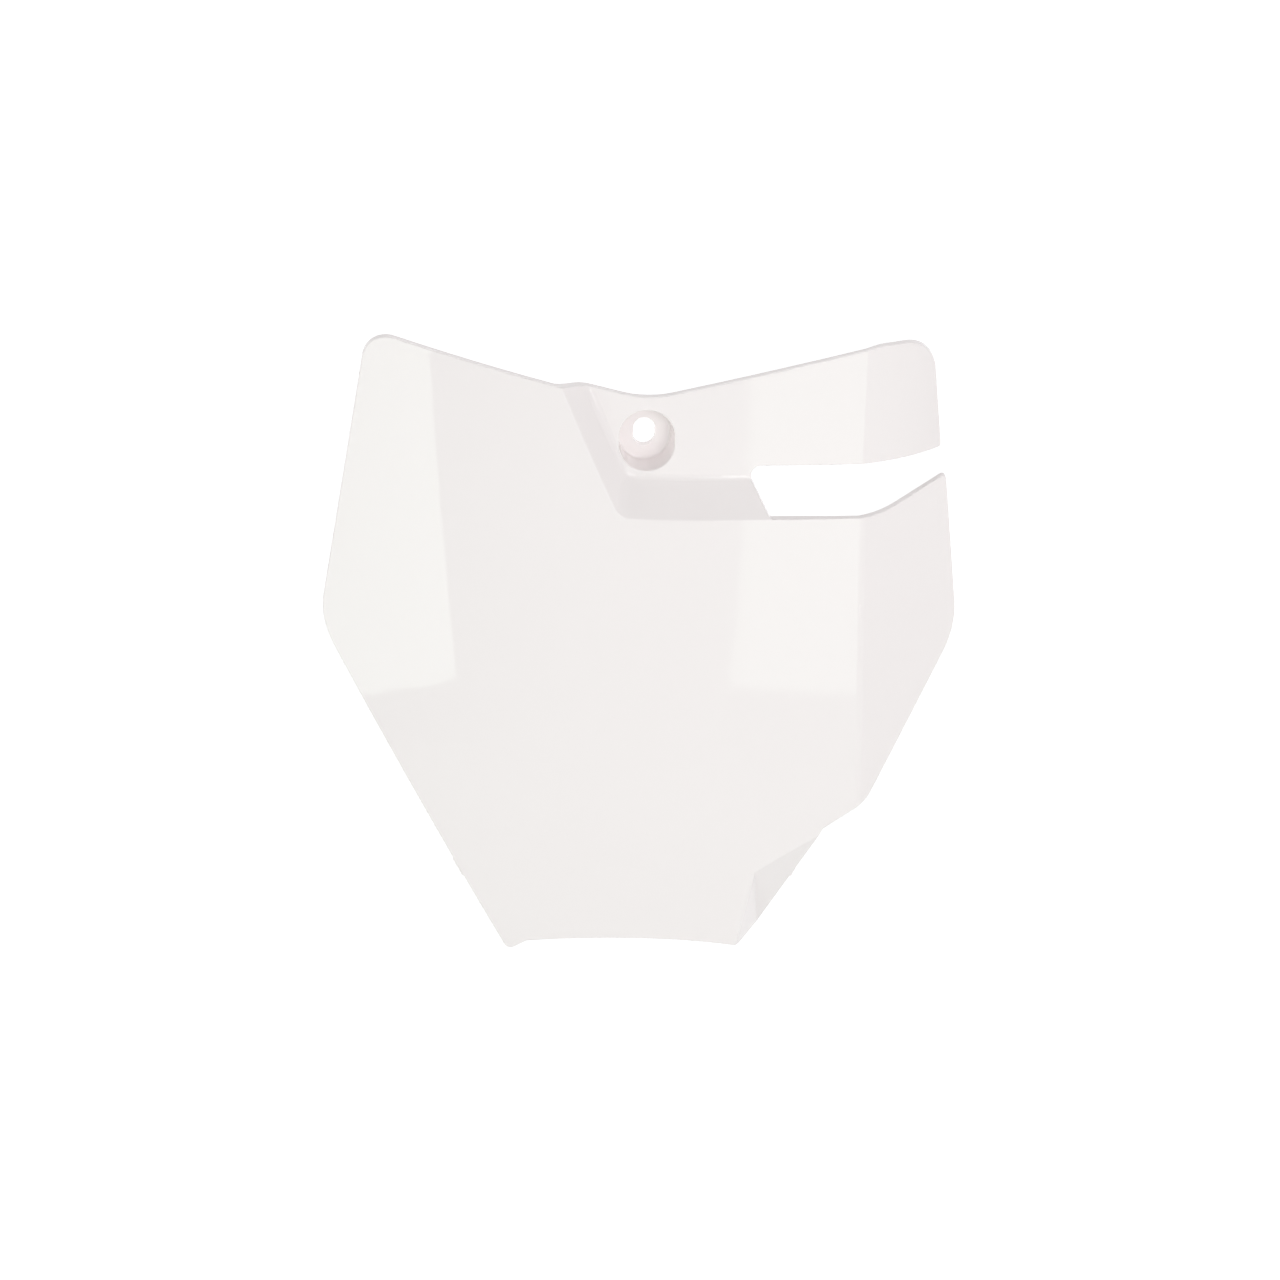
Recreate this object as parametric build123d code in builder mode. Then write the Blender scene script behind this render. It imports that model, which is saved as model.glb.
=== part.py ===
from build123d import *
import math
import os

os.makedirs("parts", exist_ok=True)

# Front number board of an off-road motorbike: one injection moulding, seen here standing upright.
# Millimetres. X runs to the right as the board is read, Z up, and the readable face looks toward -Y.
# The origin is behind the middle of the screw pocket's mouth, on the flat back where the board is clamped.

# Moulding
WALL = 3.0
EDGE_ROUND = 0.5

# Face: two arcs in plan that meet on the middle line, then a flat flank beyond a crease on the right
LEFT_RADIUS = 320.0
RIGHT_RADIUS = 900.0
UPRIGHT_RADIUS = 1200.0
CROWN_Z = -85.0
CREASE_X = 82.0
CREASE_ROUND = 6.0
FLANK_ANGLE = 31.0
CREASE_LEAN = 2.4
CREASE_PIVOT_Z = -37.0

# Set-back wing at the upper right, whose flank is bowed, and the two sloping walls that lead down to it
SET_BACK = 10.5
WING_FLANK_ANGLE = 18.0
WING_FLANK_RADIUS = 80.0
WALL_LEAN = 28.6
LEFT_DRAFT = 38.3
LEFT_WALL_X = -13.7
LOWER_TILT = 1.7
LOWER_DRAFT = 49.0
LOWER_WALL_Z = -13.0
RECESS_ROUND = 8.0
DEEP_ROUND = 4.0
STEP_ROUND = 0.8

# Screw pocket in the wing: an oval cup that leans a little to the left, with an oval hole in its floor
POCKET_DEPTH = 10.2
POCKET_RADIUS = 10.5
POCKET_DRAFT = 4.5
POCKET_LEAN = 3.2
POCKET_FLOOR_ROUND = 0.8
POCKET_BACK_BEVEL = 2.2
RIM_ROUND = 0.5
OVAL_SHIFT = 2.5
HOLE_RADIUS = 4.05
HOLE_SHIFT = 2.8

# Outline in the front view
TOP_DIP_Z = 15.7
TOP_RISE = 12.76
DIP_ROUND = 43.0
LEFT_TOP_X = -104.8
LEFT_TOP_ROUND = 10.0
KNEE_X = 87.0
KNEE_ROUND = 20.0
RIGHT_TOP = (108.5, 34.9)
RIGHT_TOP_ROUND = 14.0
LEFT_WAIST = (-122.7, -78.6)
RIGHT_WAIST = (124.0, -81.0)
WAIST_ROUND = 34.0
SHOULDER = (90.6, -146.4)
SHOULDER_ROUND = 12.0
ARCH_TOP_Z = -207.8
ARCH_LEFT = (-41.0, -211.0)
ARCH_RIGHT = (43.1, -212.0)
TOE = (-48.5, -216.2)
TOE_ROUND = 2.8

# Pressed-back corner at the lower right: a sloping facet and the wall beside it
PRESS_OUTER = (73.7, -158.4)
PRESS_RIDGE_Z = -161.5
PRESS_INNER = (47.8, -177.6)
PRESS_FOOT = (41.9, -211.8)
PRESS_TIP = (51.3, -208.5)
PRESS_DEPTH = 14.0

# Hose slot, open at the right edge through a narrower mouth
SLOT_TOP_Z = -9.9
SLOT_LOW_Z = -27.0
SLOT_END_TOP_X = 36.9
SLOT_END_LOW_X = 46.8
SLOT_RISE_X = 89.5
SLOT_RISE_ROUND = 32.0
SLOT_MOUTH = 6.8
SLOT_END_ROUND = 3.8
SLOT_LOW_ROUND = 1.2
MOUTH_TOP_ROUND = 1.0
MOUTH_LIP_ROUND = 1.8

# Holding lugs behind the two lower edges, which hook into the mudguard
LUG_Z = -179.5
LUG_TALL = 8.0
LUG_THICK = 3.0
LUG_REACH = 12.0
LUG_PEEK = 0.5
LUG_ROUND = 0.8

# Small web across the corner behind the step, flush with the top edge
WEB_THICK = 2.5
WEB_WIDE = 3.0
WEB_DEEP = 5.5

# Working room around the finished shape
SIDE_ROOM = 12.0
BACK_Y = 60.0
TRIM_FRONT_Y = -60.0
TRIM_REAR_Y = 30.0
SWEEP = 16.0
ROOM = 300.0
CUT_PAST = 5.0

# Values that follow
REACH_X = RIGHT_WAIST[0] + SIDE_ROOM
POCKET_FLOOR_Y = -WALL
POCKET_FLOOR_RADIUS = POCKET_RADIUS - POCKET_DEPTH * math.tan(math.radians(POCKET_DRAFT))
HOLE_X = -POCKET_DEPTH * math.tan(math.radians(POCKET_LEAN))
WING_Y = POCKET_FLOOR_Y - POCKET_DEPTH
CROWN_DROP = UPRIGHT_RADIUS - math.sqrt(UPRIGHT_RADIUS**2 - CROWN_Z**2)
WING_CROWN_Y = WING_Y - CROWN_DROP
FACE_CROWN_Y = WING_CROWN_Y - SET_BACK
LEFT_SWEEP = math.degrees(math.asin(REACH_X / LEFT_RADIUS))
RIGHT_SWEEP = math.degrees(math.asin(CREASE_X / RIGHT_RADIUS))
FLANK_LENGTH = (REACH_X - CREASE_X) / math.cos(math.radians(FLANK_ANGLE))
BOW_SINE = math.sin(math.radians(WING_FLANK_ANGLE))
BOW_END = math.asin(BOW_SINE + (RIGHT_WAIST[0] - CREASE_X) / WING_FLANK_RADIUS)
BOW_SWEEP = math.degrees(BOW_END) - WING_FLANK_ANGLE
SLOT_LIP_Z = SLOT_TOP_Z - SLOT_MOUTH
SLOT_MID_Z = (SLOT_TOP_Z + SLOT_LOW_Z) / 2
MOUTH_MID_Z = (SLOT_TOP_Z + SLOT_LIP_Z) / 2
WING_OPEN_X = (SLOT_END_LOW_X + CREASE_X) / 2


def top_z(x):
    """Height of the dipped top edge, before its corners are rounded."""
    return TOP_DIP_Z + abs(x) * math.tan(math.radians(TOP_RISE))


def edge_x(upper, lower, z):
    """Where a straight stretch of the outline stands at height z."""
    share = (upper[1] - z) / (upper[1] - lower[1])
    return upper[0] + share * (lower[0] - upper[0])


def skin_y(crown_y, x, z):
    """Depth of a front skin left of the crease."""
    radius = LEFT_RADIUS if x < 0 else RIGHT_RADIUS
    plan_drop = radius - math.sqrt(radius**2 - x**2)
    ring = UPRIGHT_RADIUS - plan_drop
    return crown_y + UPRIGHT_RADIUS - math.sqrt(ring**2 - (z - CROWN_Z) ** 2)


def on_face(point, behind=0.0):
    """A point of the front view placed on the main face, or behind it."""
    return Vector(point[0], skin_y(FACE_CROWN_Y, *point) + behind, point[1])


def near(shape, point):
    """The corner of a sketch nearest to a point."""
    return shape.vertices().sort_by_distance(Vector(point))[0]


def skin_block(pull_back, crown_y, bowed=False):
    """Everything behind one front skin with a flat or bowed flank, the skin moved back by pull_back."""
    axis = Axis((0, crown_y + UPRIGHT_RADIUS, CROWN_Z), (1, 0, 0))
    bow_start = Vector(1, 0, 0).rotate(Axis.Z, WING_FLANK_ANGLE)
    with BuildPart() as block:
        with BuildSketch(Plane.XY.offset(CROWN_Z)) as plan:
            with BuildLine():
                left = CenterArc((0, crown_y + LEFT_RADIUS), LEFT_RADIUS, 270, -LEFT_SWEEP)
                right = CenterArc((0, crown_y + RIGHT_RADIUS), RIGHT_RADIUS, 270, RIGHT_SWEEP)
                if bowed:
                    flank = JernArc(right @ 1, bow_start, WING_FLANK_RADIUS, BOW_SWEEP)
                else:
                    flank = PolarLine(right @ 1, FLANK_LENGTH, FLANK_ANGLE)
                Polyline(flank @ 1, (REACH_X, BACK_Y), (-REACH_X, BACK_Y), left @ 1)
            make_face()
            if not bowed:
                fillet(near(plan, right @ 1), CREASE_ROUND)
            if pull_back:
                offset(amount=-pull_back, kind=Kind.INTERSECTION, mode=Mode.REPLACE)
        revolve(axis=axis, revolution_arc=SWEEP)
    return block.part.rotate(axis, -SWEEP / 2)


def face_block(pull_back):
    """Everything behind the main face, whose crease leans a little."""
    crease_axis = Axis((0, 0, CREASE_PIVOT_Z), (0, 1, 0))
    return skin_block(pull_back, FACE_CROWN_Y).rotate(crease_axis, -CREASE_LEAN)


def half_room(plane, pull_back):
    """A large block on the open side of a plane that is moved back by pull_back."""
    with BuildPart() as room:
        with BuildSketch(plane.offset(-pull_back)):
            Rectangle(ROOM, ROOM)
        extrude(amount=ROOM)
    return room.part


def slope(lean, draft):
    """Open direction of a drafted wall whose edge leans by lean from upright in the front view."""
    turn, fall = math.radians(lean), math.radians(draft)
    return (math.cos(turn) * math.cos(fall), -math.sin(fall), math.sin(turn) * math.cos(fall))


def wall_x(behind, y, z):
    """Where the left wall of the recess stands at a depth and height, or a distance behind its front."""
    nx, ny, nz = slope(WALL_LEAN, LEFT_DRAFT)
    return LEFT_WALL_X - (ny * (y - WING_Y) + nz * z + behind) / nx


def recess_room(pull_back):
    """The open space over the wing, between its two walls and down into the hose slot."""
    left_wall = Plane((LEFT_WALL_X, WING_Y, 0), z_dir=slope(WALL_LEAN, LEFT_DRAFT))
    lower_wall = Plane((0, WING_Y, LOWER_WALL_Z), z_dir=slope(90 - LOWER_TILT, LOWER_DRAFT))
    mouth_mid = (edge_x(RIGHT_TOP, RIGHT_WAIST, MOUTH_MID_Z), MOUTH_MID_Z)
    over_slot = (
        (WING_OPEN_X, SLOT_MID_Z),
        mouth_mid,
        (ROOM, MOUTH_MID_Z),
        (ROOM, ROOM),
        (WING_OPEN_X, ROOM),
    )
    with BuildPart() as room:
        add(half_room(left_wall, pull_back))
        add(half_room(lower_wall, pull_back), mode=Mode.INTERSECT)
        corner = room.edges().sort_by_distance(Vector(0, WING_Y, LOWER_WALL_Z))[0]
        fillet(corner, RECESS_ROUND + pull_back)
        with BuildSketch(Plane.XZ.offset(-BACK_Y)):
            Polygon(*over_slot, align=None)
        extrude(amount=ROOM)
    return room.part


def front_solid(pull_back):
    """The board's front skin as a thick block, with the whole skin moved back by pull_back."""
    with BuildPart() as recess:
        add(recess_room(pull_back))
        add(skin_block(pull_back, WING_CROWN_Y, bowed=True), mode=Mode.SUBTRACT)
        deep = recess.edges(Select.NEW).filter_by_position(Axis.X, -REACH_X, SLOT_END_LOW_X)
        deep = deep.filter_by_position(Axis.Y, TRIM_FRONT_Y, WALL)
        fillet(deep, DEEP_ROUND + pull_back)
    inner, foot = on_face(PRESS_INNER), on_face(PRESS_FOOT)
    outer = on_face((edge_x(PRESS_OUTER, PRESS_TIP, PRESS_RIDGE_Z), PRESS_RIDGE_Z))
    tip = on_face(PRESS_TIP, PRESS_DEPTH)
    facet = Plane(inner, z_dir=(tip - inner).cross(outer - inner))
    cheek = Plane(inner, z_dir=(foot - inner).cross(tip - inner))
    with BuildPart() as press:
        add(half_room(facet, pull_back))
        add(half_room(cheek, pull_back), mode=Mode.INTERSECT)
    cut = POCKET_DEPTH + CUT_PAST
    mouth_x = HOLE_X + cut * math.tan(math.radians(POCKET_LEAN))
    mouth_radius = POCKET_FLOOR_RADIUS + cut * math.tan(math.radians(POCKET_DRAFT))
    with BuildPart() as pocket:
        with BuildSketch(Plane.XZ.offset(-POCKET_FLOOR_Y - pull_back)):
            with Locations((HOLE_X, 0)):
                SlotCenterToCenter(OVAL_SHIFT, 2 * (POCKET_FLOOR_RADIUS + pull_back), rotation=90)
        with BuildSketch(Plane.XZ.offset(cut - POCKET_FLOOR_Y)):
            with Locations((mouth_x, 0)):
                SlotCenterToCenter(OVAL_SHIFT, 2 * (mouth_radius + pull_back), rotation=90)
        loft(ruled=True)
        floor_edge = pocket.faces().sort_by(Axis.Y)[-1].edges()
        if pull_back:
            chamfer(floor_edge, POCKET_BACK_BEVEL)
        else:
            fillet(floor_edge, POCKET_FLOOR_ROUND)
    with BuildPart() as solid:
        add(face_block(pull_back))
        add(recess.part, mode=Mode.SUBTRACT)
        step = solid.edges(Select.NEW).filter_by_position(Axis.X, -REACH_X, WING_OPEN_X)
        step = step.filter_by_position(Axis.Z, -ROOM, top_z(REACH_X))
        if not pull_back:
            fillet(step, STEP_ROUND)
        add(press.part, mode=Mode.SUBTRACT)
        ridge = solid.edges(Select.NEW).filter_by_position(Axis.X, -REACH_X, CREASE_X)
        ridge = ridge.filter_by_position(Axis.Y, TRIM_FRONT_Y, WING_Y)
        if not pull_back:
            fillet(ridge, STEP_ROUND)
        add(pocket.part, mode=Mode.SUBTRACT)
        if not pull_back:
            fillet(solid.edges(Select.NEW), RIM_ROUND)
    return solid.part


with BuildSketch(Plane.XZ.offset(-TRIM_REAR_Y)) as outline:
    with BuildLine():
        Polyline(
            ARCH_LEFT,
            TOE,
            LEFT_WAIST,
            (LEFT_TOP_X, top_z(LEFT_TOP_X)),
            (0, TOP_DIP_Z),
            (KNEE_X, top_z(KNEE_X)),
            RIGHT_TOP,
            RIGHT_WAIST,
            SHOULDER,
            PRESS_OUTER,
            PRESS_TIP,
            ARCH_RIGHT,
        )
        ThreePointArc(ARCH_RIGHT, (0, ARCH_TOP_Z), ARCH_LEFT)
    make_face()
    lip = (edge_x(RIGHT_TOP, RIGHT_WAIST, SLOT_LIP_Z), SLOT_LIP_Z)
    mouth_top = (edge_x(RIGHT_TOP, RIGHT_WAIST, SLOT_TOP_Z), SLOT_TOP_Z)
    with BuildLine():
        Polyline(
            (SLOT_END_TOP_X, SLOT_TOP_Z),
            (REACH_X, SLOT_TOP_Z),
            (REACH_X, SLOT_LIP_Z),
            lip,
            (SLOT_RISE_X, SLOT_LOW_Z),
            (SLOT_END_LOW_X, SLOT_LOW_Z),
            close=True,
        )
    make_face(mode=Mode.SUBTRACT)
    fillet(near(outline, TOE), TOE_ROUND)
    fillet(near(outline, LEFT_WAIST), WAIST_ROUND)
    fillet(near(outline, (LEFT_TOP_X, top_z(LEFT_TOP_X))), LEFT_TOP_ROUND)
    fillet(near(outline, (0, TOP_DIP_Z)), DIP_ROUND)
    fillet(near(outline, (KNEE_X, top_z(KNEE_X))), KNEE_ROUND)
    fillet(near(outline, RIGHT_TOP), RIGHT_TOP_ROUND)
    fillet(near(outline, mouth_top), MOUTH_TOP_ROUND)
    fillet(near(outline, lip), MOUTH_LIP_ROUND)
    fillet(near(outline, (SLOT_RISE_X, SLOT_LOW_Z)), SLOT_RISE_ROUND)
    fillet(near(outline, (SLOT_END_LOW_X, SLOT_LOW_Z)), SLOT_LOW_ROUND)
    fillet(near(outline, (SLOT_END_TOP_X, SLOT_TOP_Z)), SLOT_END_ROUND)
    fillet(near(outline, RIGHT_WAIST), WAIST_ROUND)
    fillet(near(outline, SHOULDER), SHOULDER_ROUND)


def lug(upper, lower, root):
    """A tongue standing straight back from the wall, along a stretch of the lower outline."""
    along = (Vector(lower[0], 0, lower[1]) - Vector(upper[0], 0, upper[1])).normalized()
    with BuildPart() as tongue:
        with BuildSketch(Plane(root, x_dir=along, z_dir=(0, 1, 0))):
            inward = math.copysign(LUG_THICK / 2 - LUG_PEEK, root.X)
            with Locations((0, inward)):
                Rectangle(LUG_TALL, LUG_THICK)
        extrude(amount=LUG_REACH)
        fillet(tongue.faces().sort_by(Axis.Y)[-1].edges(), LUG_ROUND)
    return tongue.part


left_root = on_face((edge_x(LEFT_WAIST, TOE, LUG_Z), LUG_Z), WALL / 2)
right_x = edge_x(PRESS_OUTER, PRESS_TIP, LUG_Z)
press_share = (PRESS_RIDGE_Z - LUG_Z) / (PRESS_RIDGE_Z - PRESS_TIP[1])
right_root = on_face((right_x, LUG_Z), PRESS_DEPTH * press_share + WALL / 2)

rise = math.radians(TOP_RISE)
web_plane = Plane(
    (0, 0, TOP_DIP_Z),
    x_dir=(-math.cos(rise), 0, math.sin(rise)),
    z_dir=(-math.sin(rise), 0, -math.cos(rise)),
)
web_z = top_z(LEFT_WALL_X)
bury = WALL - EDGE_ROUND
heel_y = skin_y(FACE_CROWN_Y, LEFT_WALL_X, web_z) + bury
heel_x = wall_x(bury, heel_y, web_z)
far_x = heel_x - WEB_WIDE
far_y = skin_y(FACE_CROWN_Y, far_x, top_z(far_x)) + bury
deep_y = heel_y + WEB_DEEP
deep_x = wall_x(bury, deep_y, web_z)

with BuildPart() as number_board:
    add(front_solid(0))
    extrude(outline.sketch, amount=TRIM_REAR_Y - TRIM_FRONT_Y, mode=Mode.INTERSECT)
    fillet(number_board.edges(Select.NEW), EDGE_ROUND)
    add(front_solid(WALL), mode=Mode.SUBTRACT)
    add(lug(LEFT_WAIST, TOE, left_root))
    add(lug(PRESS_OUTER, PRESS_TIP, right_root))
    with BuildSketch(web_plane):
        with BuildLine():
            Polyline(
                (-far_x / math.cos(rise), far_y),
                (-heel_x / math.cos(rise), heel_y),
                (-deep_x / math.cos(rise), deep_y),
                close=True,
            )
        make_face()
    extrude(amount=WEB_THICK)
    with BuildSketch(Plane.XZ):
        with Locations((HOLE_X, 0)):
            SlotCenterToCenter(HOLE_SHIFT, 2 * HOLE_RADIUS, rotation=90)
    extrude(amount=POCKET_DEPTH, both=True, mode=Mode.SUBTRACT)

number_board.part.label = "number_board"
export_step(number_board.part, "parts/number_board.step")
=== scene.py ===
# %% [markdown]
# A moulded number board
#
# The front number board of an off-road motorbike is one thin shell of white polypropylene.
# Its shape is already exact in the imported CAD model, so this lesson changes no shape at all.
# We set up the camera, a plain white studio and the lamps, and then spend the effort on what
# makes a white plastic believable: a fine skin, a soft sheen, and edges that catch the light.

# %% Load the board
import math

import bpy
from mathutils import Matrix, Vector

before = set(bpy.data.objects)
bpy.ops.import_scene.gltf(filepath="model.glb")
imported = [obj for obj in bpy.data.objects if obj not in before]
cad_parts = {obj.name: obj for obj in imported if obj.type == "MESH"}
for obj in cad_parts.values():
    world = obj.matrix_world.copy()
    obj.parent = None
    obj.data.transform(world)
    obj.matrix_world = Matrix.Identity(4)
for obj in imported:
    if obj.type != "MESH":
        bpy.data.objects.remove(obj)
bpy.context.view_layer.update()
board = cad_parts["number_board"]

# %% [markdown]
# The camera
#
# The board is seen from a little to its left and from above, through a long lens, so its sides
# stay nearly parallel. The camera is also rolled by two degrees. A camera could be aimed with a
# Track To constraint, but that can't hold a roll, so its three axes are worked out and written
# straight into its matrix.

# %% Place the camera
AZIMUTH = math.radians(-4.0)
ELEVATION = math.radians(24.0)
ROLL = math.radians(2.0)
DISTANCE = 1.35111
LOOKED_AT = Vector((-0.00074, -0.02358, -0.07694))
LENS_MM = 100.0
SENSOR_MM = 36.0

look = Vector((
    -math.sin(AZIMUTH) * math.cos(ELEVATION),
    math.cos(AZIMUTH) * math.cos(ELEVATION),
    -math.sin(ELEVATION),
))
level = Vector((math.cos(AZIMUTH), math.sin(AZIMUTH), 0.0))
above = level.cross(look)
right = level * math.cos(ROLL) + above * math.sin(ROLL)
up = above * math.cos(ROLL) - level * math.sin(ROLL)

lens = bpy.data.cameras.new("studio_camera")
lens.lens = LENS_MM
lens.sensor_fit = "HORIZONTAL"
lens.sensor_width = SENSOR_MM
camera = bpy.data.objects.new("studio_camera", lens)
camera.matrix_world = (
    Matrix.Translation(LOOKED_AT - look * DISTANCE)
    @ Matrix((right, up, -look)).transposed().to_4x4()
)
bpy.context.scene.collection.objects.link(camera)
bpy.context.scene.camera = camera
print("camera stands at", [round(v, 3) for v in camera.matrix_world.translation])

# %% [markdown]
# The studio
#
# The board hangs by its screw, so nothing stands on the floor and the floor lies well below it.
# A white background can be had by flooding the scene with light, but that would burn out a white
# object first. Here the world and the floor look white only to the camera and to reflections,
# which the Light Path node tells apart, and they light the board at a plain level. The light that
# bounces comes from around the horizon and fades to nothing overhead, because the sloping walls
# of the recess, which look up, are darker on the real board than its upright face.

# %% Colour handling
scene = bpy.context.scene
scene.view_settings.view_transform = "Standard"


def seen_directly(tree):
    """A value that is 1 for camera, glossy and transmission rays, and 0 for the light that bounces."""
    path = tree.nodes.new("ShaderNodeLightPath")
    seen = path.outputs["Is Camera Ray"]
    for name in ("Is Glossy Ray", "Is Transmission Ray"):
        larger = tree.nodes.new("ShaderNodeMath")
        larger.operation = "MAXIMUM"
        tree.links.new(seen, larger.inputs[0])
        tree.links.new(path.outputs[name], larger.inputs[1])
        seen = larger.outputs["Value"]
    return seen


print("view transform:", scene.view_settings.view_transform)

# %% World light
WORLD_ABOVE = 0.0
WORLD_LEVEL = 1.465
PURE_WHITE = (1.0, 1.0, 1.0, 1.0)

world = bpy.data.worlds.new("white_studio")
world.use_nodes = True
scene.world = world
tree = world.node_tree
tree.nodes.clear()
direction = tree.nodes.new("ShaderNodeTexCoord")
parts = tree.nodes.new("ShaderNodeSeparateXYZ")
tree.links.new(direction.outputs["Generated"], parts.inputs["Vector"])
fall = tree.nodes.new("ShaderNodeMapRange")
fall.inputs["From Min"].default_value = 0.0
fall.inputs["From Max"].default_value = 1.0
fall.inputs["To Min"].default_value = WORLD_LEVEL
fall.inputs["To Max"].default_value = WORLD_ABOVE
tree.links.new(parts.outputs["Z"], fall.inputs["Value"])
lit = tree.nodes.new("ShaderNodeBackground")
lit.inputs["Color"].default_value = PURE_WHITE
tree.links.new(fall.outputs["Result"], lit.inputs["Strength"])
shown = tree.nodes.new("ShaderNodeBackground")
shown.inputs["Color"].default_value = PURE_WHITE
shown.inputs["Strength"].default_value = 1.0
choose = tree.nodes.new("ShaderNodeMixShader")
tree.links.new(seen_directly(tree), choose.inputs["Fac"])
tree.links.new(lit.outputs["Background"], choose.inputs[1])
tree.links.new(shown.outputs["Background"], choose.inputs[2])
out = tree.nodes.new("ShaderNodeOutputWorld")
tree.links.new(choose.outputs["Shader"], out.inputs["Surface"])
print("world light from", WORLD_ABOVE, "overhead to", WORLD_LEVEL, "at the horizon")

# %% Floor
FLOOR_Z = -0.75
FLOOR_HALF = 12.0
FLOOR_SEEN = 0.72
FLOOR_PAPER = (0.8, 0.8, 0.8, 1.0)

floor_mesh = bpy.data.meshes.new("floor")
floor_mesh.from_pydata(
    [
        (-FLOOR_HALF, -FLOOR_HALF, FLOOR_Z),
        (FLOOR_HALF, -FLOOR_HALF, FLOOR_Z),
        (FLOOR_HALF, FLOOR_HALF, FLOOR_Z),
        (-FLOOR_HALF, FLOOR_HALF, FLOOR_Z),
    ],
    [],
    [(0, 1, 2, 3)],
)
floor = bpy.data.objects.new("floor", floor_mesh)
scene.collection.objects.link(floor)

paper = bpy.data.materials.new("floor_paper")
paper.use_nodes = True
tree = paper.node_tree
tree.nodes.clear()
matt = tree.nodes.new("ShaderNodeBsdfDiffuse")
matt.inputs["Color"].default_value = FLOOR_PAPER
glow = tree.nodes.new("ShaderNodeEmission")
glow.inputs["Color"].default_value = PURE_WHITE
amount = tree.nodes.new("ShaderNodeMath")
amount.operation = "MULTIPLY"
amount.inputs[1].default_value = FLOOR_SEEN
tree.links.new(seen_directly(tree), amount.inputs[0])
tree.links.new(amount.outputs["Value"], glow.inputs["Strength"])
both = tree.nodes.new("ShaderNodeAddShader")
tree.links.new(matt.outputs["BSDF"], both.inputs[0])
tree.links.new(glow.outputs["Emission"], both.inputs[1])
out = tree.nodes.new("ShaderNodeOutputMaterial")
tree.links.new(both.outputs["Shader"], out.inputs["Surface"])
floor_mesh.materials.append(paper)

# %% [markdown]
# The lamps
#
# A glossy white thing is drawn by what it mirrors. On the real board two tall pale shapes lie on
# the face, one along the left edge and one right of the middle that stops dead at the crease.
# They are two soft boxes, one on each side of the camera. The camera looks down, so the
# face mirrors what is low in front of it, and the boxes reach far down. Both shapes are more
# neutral than the plastic around them, so these boxes get the faint green of tube light.
#
# Two panels do the rest and don't show in the face: one high in front on the right fills the
# screw pocket, and one high behind the board lights its thin upper edges. Each lamp is a
# Rectangle area lamp, given by the directions of its middle and borders as seen from the board.

# %% Soft boxes
LAMP_AIM = Vector((0.0, -0.02, -0.07))
DAYLIGHT = (1.0, 1.0, 1.0)
TUBE_LIGHT = (0.84, 1.0, 0.88)


def soft_box(name, middle, spread, reach, radiance, colour=DAYLIGHT, roll=0.0):
    """A rectangular lamp; middle and spread are (azimuth, elevation) in degrees, seen from the board."""
    side, height = (math.radians(v) for v in middle)
    outward = Vector((
        math.sin(side) * math.cos(height),
        -math.cos(side) * math.cos(height),
        math.sin(height),
    ))
    lamp = bpy.data.lights.new(name, "AREA")
    lamp.shape = "RECTANGLE"
    lamp.color = colour
    lamp.size = 2 * reach * math.tan(math.radians(spread[0]))
    lamp.size_y = 2 * reach * math.tan(math.radians(spread[1]))
    lamp.energy = radiance * math.pi * lamp.size * lamp.size_y
    box = bpy.data.objects.new(name, lamp)
    turn = outward.to_track_quat("Z", "Y").to_matrix() @ Matrix.Rotation(math.radians(roll), 3, "Z")
    box.matrix_world = Matrix.Translation(LAMP_AIM + outward * reach) @ turn.to_4x4()
    box.visible_camera = False
    scene.collection.objects.link(box)
    print(name, "size", round(lamp.size, 2), round(lamp.size_y, 2), "power", round(lamp.energy, 2))


soft_box(
    "left_soft_box", middle=(-41.9, -14.9), spread=(11.2, 13.2),
    reach=1.25, radiance=1.66, colour=TUBE_LIGHT, roll=4.0,
)
soft_box(
    "right_soft_box", middle=(20.0, -14.1), spread=(8.2, 12.5),
    reach=1.25, radiance=1.06, colour=TUBE_LIGHT,
)
soft_box("front_panel", middle=(24.0, 18.0), spread=(14.0, 10.0), reach=1.0, radiance=3.4)
soft_box("back_panel", middle=(180.0, 55.0), spread=(18.0, 12.0), reach=1.0, radiance=2.5)

# %% [markdown]
# The skin of the plastic
#
# A polished mould leaves a skin that is smooth but never perfectly flat: it has a slow waviness
# and a very fine grain, and its white drifts a little where the plastic is thicker or handled.
# All of this could be painted in an image, but noise in object space needs no unwrapping and has
# the same scale everywhere. Two node groups hold the effects, and the board's material sets them.

# %% Moulded skin group
DRIFT_SCALE = 14.0

skin = bpy.data.node_groups.new("moulded_skin", "ShaderNodeTree")
skin.interface.new_socket("Wave Scale", in_out="INPUT", socket_type="NodeSocketFloat")
skin.interface.new_socket("Grain Scale", in_out="INPUT", socket_type="NodeSocketFloat")
skin.interface.new_socket("Grain Share", in_out="INPUT", socket_type="NodeSocketFloat")
skin.interface.new_socket("Height", in_out="OUTPUT", socket_type="NodeSocketFloat")
skin.interface.new_socket("Drift", in_out="OUTPUT", socket_type="NodeSocketFloat")
given = skin.nodes.new("NodeGroupInput")
place = skin.nodes.new("ShaderNodeTexCoord")
wave = skin.nodes.new("ShaderNodeTexNoise")
wave.inputs["Detail"].default_value = 2.0
skin.links.new(place.outputs["Object"], wave.inputs["Vector"])
skin.links.new(given.outputs["Wave Scale"], wave.inputs["Scale"])
grain = skin.nodes.new("ShaderNodeTexNoise")
grain.inputs["Detail"].default_value = 3.0
skin.links.new(place.outputs["Object"], grain.inputs["Vector"])
skin.links.new(given.outputs["Grain Scale"], grain.inputs["Scale"])
height = skin.nodes.new("ShaderNodeMix")
skin.links.new(given.outputs["Grain Share"], height.inputs["Factor"])
skin.links.new(wave.outputs["Fac"], height.inputs["A"])
skin.links.new(grain.outputs["Fac"], height.inputs["B"])
drift = skin.nodes.new("ShaderNodeTexNoise")
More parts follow.
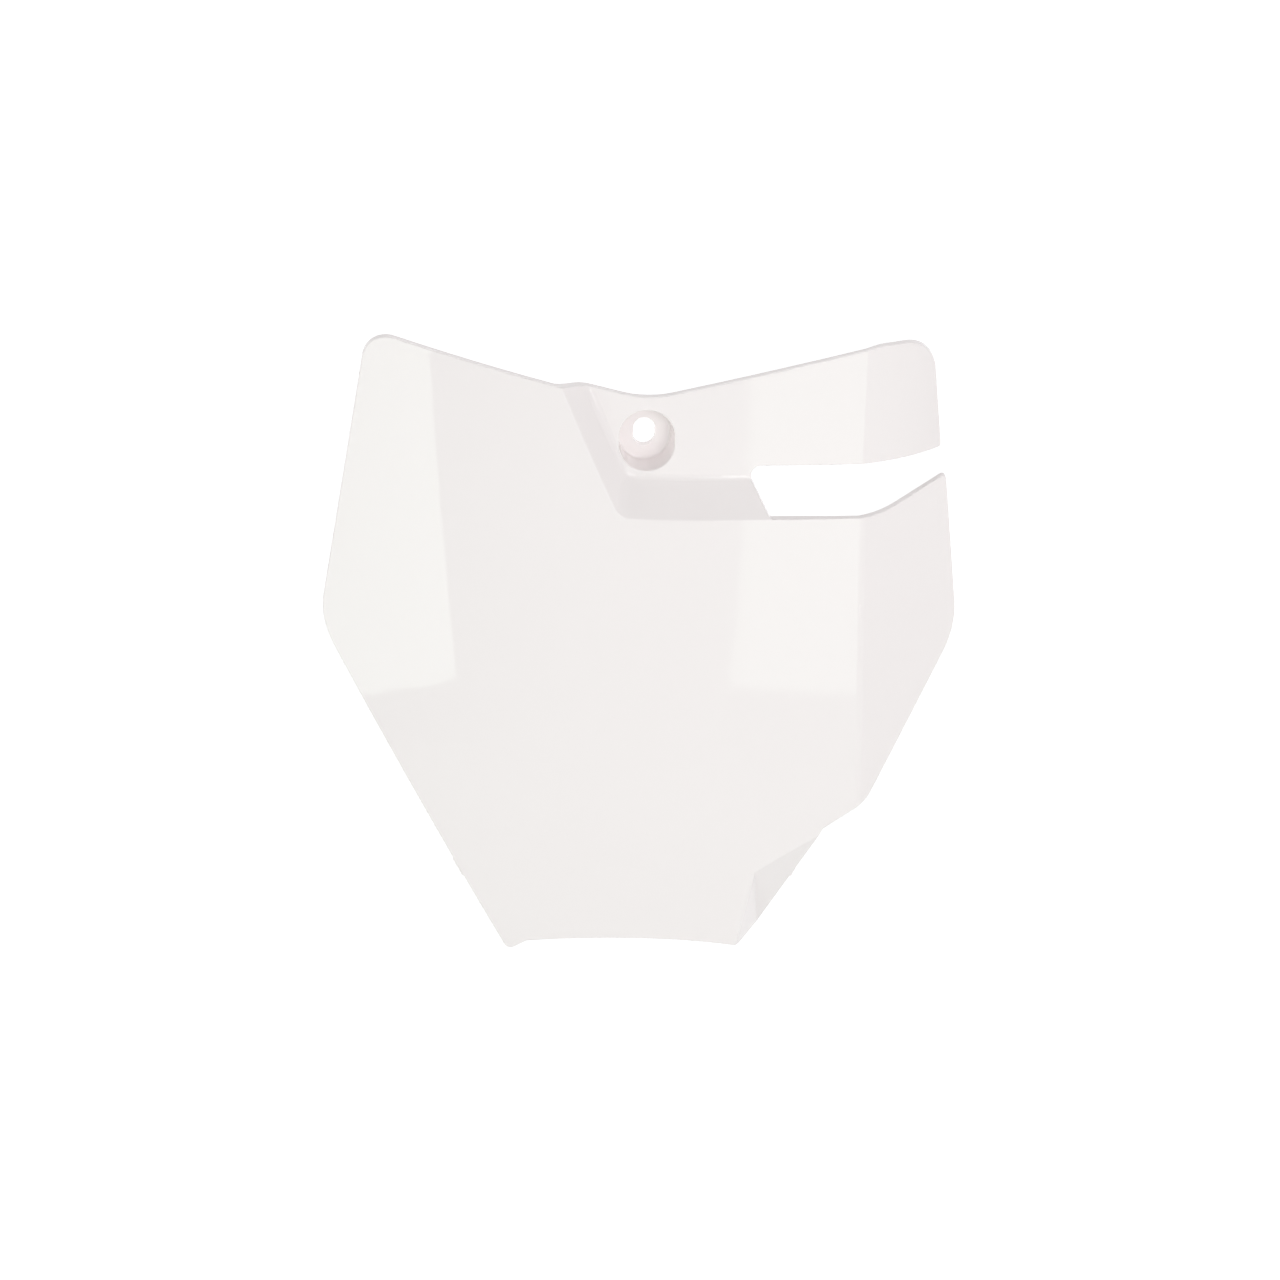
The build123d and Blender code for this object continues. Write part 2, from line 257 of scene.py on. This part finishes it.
drift.inputs["Scale"].default_value = DRIFT_SCALE
drift.inputs["Detail"].default_value = 4.0
skin.links.new(place.outputs["Object"], drift.inputs["Vector"])
result = skin.nodes.new("NodeGroupOutput")
skin.links.new(height.outputs["Result"], result.inputs["Height"])
skin.links.new(drift.outputs["Fac"], result.inputs["Drift"])
print("group", skin.name, "with", len(skin.nodes), "nodes")

# %% Edge group
FLAT = 1.0
FULLY_BENT = 0.8

edges = bpy.data.node_groups.new("edge_finder", "ShaderNodeTree")
edges.interface.new_socket("Reach", in_out="INPUT", socket_type="NodeSocketFloat")
edges.interface.new_socket("Edge", in_out="OUTPUT", socket_type="NodeSocketFloat")
given = edges.nodes.new("NodeGroupInput")
bevel = edges.nodes.new("ShaderNodeBevel")
bevel.samples = 8
edges.links.new(given.outputs["Reach"], bevel.inputs["Radius"])
surface = edges.nodes.new("ShaderNodeNewGeometry")
agree = edges.nodes.new("ShaderNodeVectorMath")
agree.operation = "DOT_PRODUCT"
edges.links.new(bevel.outputs["Normal"], agree.inputs[0])
edges.links.new(surface.outputs["Normal"], agree.inputs[1])
bent = edges.nodes.new("ShaderNodeMapRange")
bent.inputs["From Min"].default_value = FLAT
bent.inputs["From Max"].default_value = FULLY_BENT
edges.links.new(agree.outputs["Value"], bent.inputs["Value"])
result = edges.nodes.new("NodeGroupOutput")
edges.links.new(bent.outputs["Result"], result.inputs["Edge"])
print("group", edges.name, "with", len(edges.nodes), "nodes")

# %% [markdown]
# The white plastic
#
# The colour is a warm white that leans a little to pink. The gloss is a dielectric one with the
# refraction of polypropylene, and so sharp that the borders of the soft boxes can be seen in it.
# The back of such a board comes from a mould half that is not polished, so it is duller there:
# the Y of the surface normal says which side it is.

# %% White plastic
WHITE = (0.964, 0.914, 0.913, 1.0)
WHITE_WORN_AND_HIGHLIT = (0.968, 0.922, 0.921, 1.0)
WHITE_DEEP = (0.954, 0.9, 0.899, 1.0)
FRONT_ROUGHNESS = (0.02, 0.045)
BACK_ROUGHNESS = 0.48
BACK_STARTS, BACK_FULL = 0.25, 0.45
EDGE_REACH = 0.0012
SKIN_HEIGHT = 0.0002
SKIN_STRENGTH = 0.06
POLYPROPYLENE_IOR = 1.49

plastic = bpy.data.materials.new("white_plastic")
plastic.use_nodes = True
tree = plastic.node_tree
tree.nodes.clear()


def place_group(group, **values):
    """Puts a node group into the material with its own values."""
    node = tree.nodes.new("ShaderNodeGroup")
    node.node_tree = group
    for name, value in values.items():
        node.inputs[name.replace("_", " ")].default_value = value
    return node


def blend(kind, factor, a, b):
    """A Mix node of colours or of plain values; factor, a and b may be sockets or constants."""
    node = tree.nodes.new("ShaderNodeMix")
    node.data_type = kind
    start = {"FLOAT": 2, "RGBA": 6}[kind]
    for index, value in ((0, factor), (start, a), (start + 1, b)):
        if isinstance(value, bpy.types.NodeSocket):
            tree.links.new(value, node.inputs[index])
        else:
            node.inputs[index].default_value = value
    return node.outputs[{"FLOAT": 0, "RGBA": 2}[kind]]


skin_here = place_group(skin, Wave_Scale=140.0, Grain_Scale=2600.0, Grain_Share=0.03)
edge_wear_and_highlight = place_group(edges, Reach=EDGE_REACH)

coords = tree.nodes.new("ShaderNodeTexCoord")
facing = tree.nodes.new("ShaderNodeSeparateXYZ")
tree.links.new(coords.outputs["Normal"], facing.inputs["Vector"])
back = tree.nodes.new("ShaderNodeMapRange")
back.inputs["From Min"].default_value = BACK_STARTS
back.inputs["From Max"].default_value = BACK_FULL
tree.links.new(facing.outputs["Y"], back.inputs["Value"])

tone = blend("RGBA", skin_here.outputs["Drift"], WHITE_DEEP, WHITE)
# The edges are painted a touch lighter: partly wear, partly a painted highlight where the rounded
# borders catch the light.
tone = blend("RGBA", edge_wear_and_highlight.outputs["Edge"], tone, WHITE_WORN_AND_HIGHLIT)
rough = tree.nodes.new("ShaderNodeMapRange")
rough.inputs["To Min"].default_value = FRONT_ROUGHNESS[0]
rough.inputs["To Max"].default_value = FRONT_ROUGHNESS[1]
tree.links.new(skin_here.outputs["Drift"], rough.inputs["Value"])
rough_all = blend("FLOAT", back.outputs["Result"], rough.outputs["Result"], BACK_ROUGHNESS)

bump = tree.nodes.new("ShaderNodeBump")
bump.inputs["Strength"].default_value = SKIN_STRENGTH
bump.inputs["Distance"].default_value = SKIN_HEIGHT
tree.links.new(skin_here.outputs["Height"], bump.inputs["Height"])

shader = tree.nodes.new("ShaderNodeBsdfPrincipled")
shader.inputs["IOR"].default_value = POLYPROPYLENE_IOR
tree.links.new(tone, shader.inputs["Base Color"])
tree.links.new(rough_all, shader.inputs["Roughness"])
tree.links.new(bump.outputs["Normal"], shader.inputs["Normal"])
out = tree.nodes.new("ShaderNodeOutputMaterial")
tree.links.new(shader.outputs["BSDF"], out.inputs["Surface"])
board.data.materials.clear()
board.data.materials.append(plastic)
print("material", plastic.name, "with", len(tree.nodes), "nodes")
